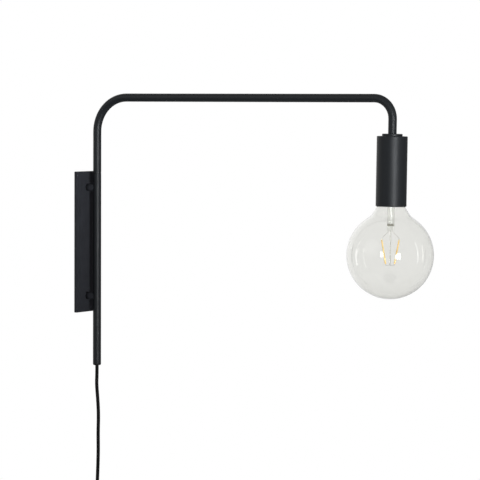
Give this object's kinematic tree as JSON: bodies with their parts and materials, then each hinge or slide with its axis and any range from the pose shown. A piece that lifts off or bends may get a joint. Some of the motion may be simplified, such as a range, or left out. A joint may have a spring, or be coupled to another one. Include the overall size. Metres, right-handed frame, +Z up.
{
  "type": "wall lamp",
  "caption": "Wall lamp with a long swinging tube arm on a plate, a hanging cup with a clear globe bulb, and a mains cord with in-line switch and plug.",
  "frame": {"origin": "middle of the wall plate's back face, on the wall", "axes": "+Z up, -Y straight out of the wall along the arm, +X to the right for someone facing the wall"},
  "size_m": [0.1266, 0.5824, 0.8273],
  "materials": {
    "black_coat": "satin black powder coat",
    "zinc_steel": "zinc plated",
    "acetal": "smooth black",
    "black_plastic": "fine matt",
    "cord_jacket": "smooth jacket",
    "brass": "plain",
    "bulb_clear_glass": "clear",
    "filament_phosphor": "unlit yellow coating",
    "nickel": "nickel plated",
    "bulb_insulator_black": "black glass"
  },
  "bodies": {
    "wall_frame": {"wall_plate": "black_coat", "back_plate": "zinc_steel", "standoff_upper": "black_coat", "standoff_lower": "black_coat", "standoff_screws": "zinc_steel", "column_tube": "black_coat", "swivel_bush": "acetal", "stop_screw": "zinc_steel", "cord_bush": "black_plastic", "lead_lower": "cord_jacket", "cord_hanging": "cord_jacket", "switch_front": "black_plastic", "switch_back": "black_plastic", "switch_screws": "zinc_steel", "switch_contacts": "brass", "cord_link": "cord_jacket", "cord_coil": "cord_jacket", "cord_tie": "black_plastic", "cord_tail": "cord_jacket", "plug_body": "black_plastic", "plug_pins": "nickel"},
    "swing_arm": {"arm_tube": "black_coat", "swivel_spigot": "zinc_steel", "lead_upper": "cord_jacket", "collar": "black_coat", "socket_cup": "black_coat", "threaded_nipple": "zinc_steel", "nipple_nuts": "zinc_steel", "holder_cap": "black_plastic", "holder_body": "black_plastic", "holder_shell": "brass", "holder_contact": "brass", "holder_terminals": "brass"},
    "bulb": {"bulb_glass": "bulb_clear_glass", "bulb_stem": "bulb_clear_glass", "bulb_post": "bulb_clear_glass", "bulb_wires": "nickel", "bulb_filaments": "filament_phosphor", "bulb_cap": "nickel", "bulb_insulator": "bulb_insulator_black", "bulb_contact": "nickel"},
    "rocker": {"switch_rocker": "black_plastic"}
  },
  "joints": [
    {"name": "arm_swing", "type": "hinge", "parent": "wall_frame", "child": "swing_arm", "pos_m": [0, -0.0222, 0.106], "axis": [0, 0, 1], "range_deg": [-85, 85]},
    {"name": "bulb_release", "type": "slide", "parent": "swing_arm", "child": "bulb", "axis": [0, 0.0136, -0.9999], "range_m": [0, 0.06]},
    {"name": "switch_rock", "type": "hinge", "parent": "wall_frame", "child": "rocker", "pos_m": [0, -0.0282, -0.4132], "axis": [-1, 0, 0], "range_deg": [0, 20]}
  ]
}
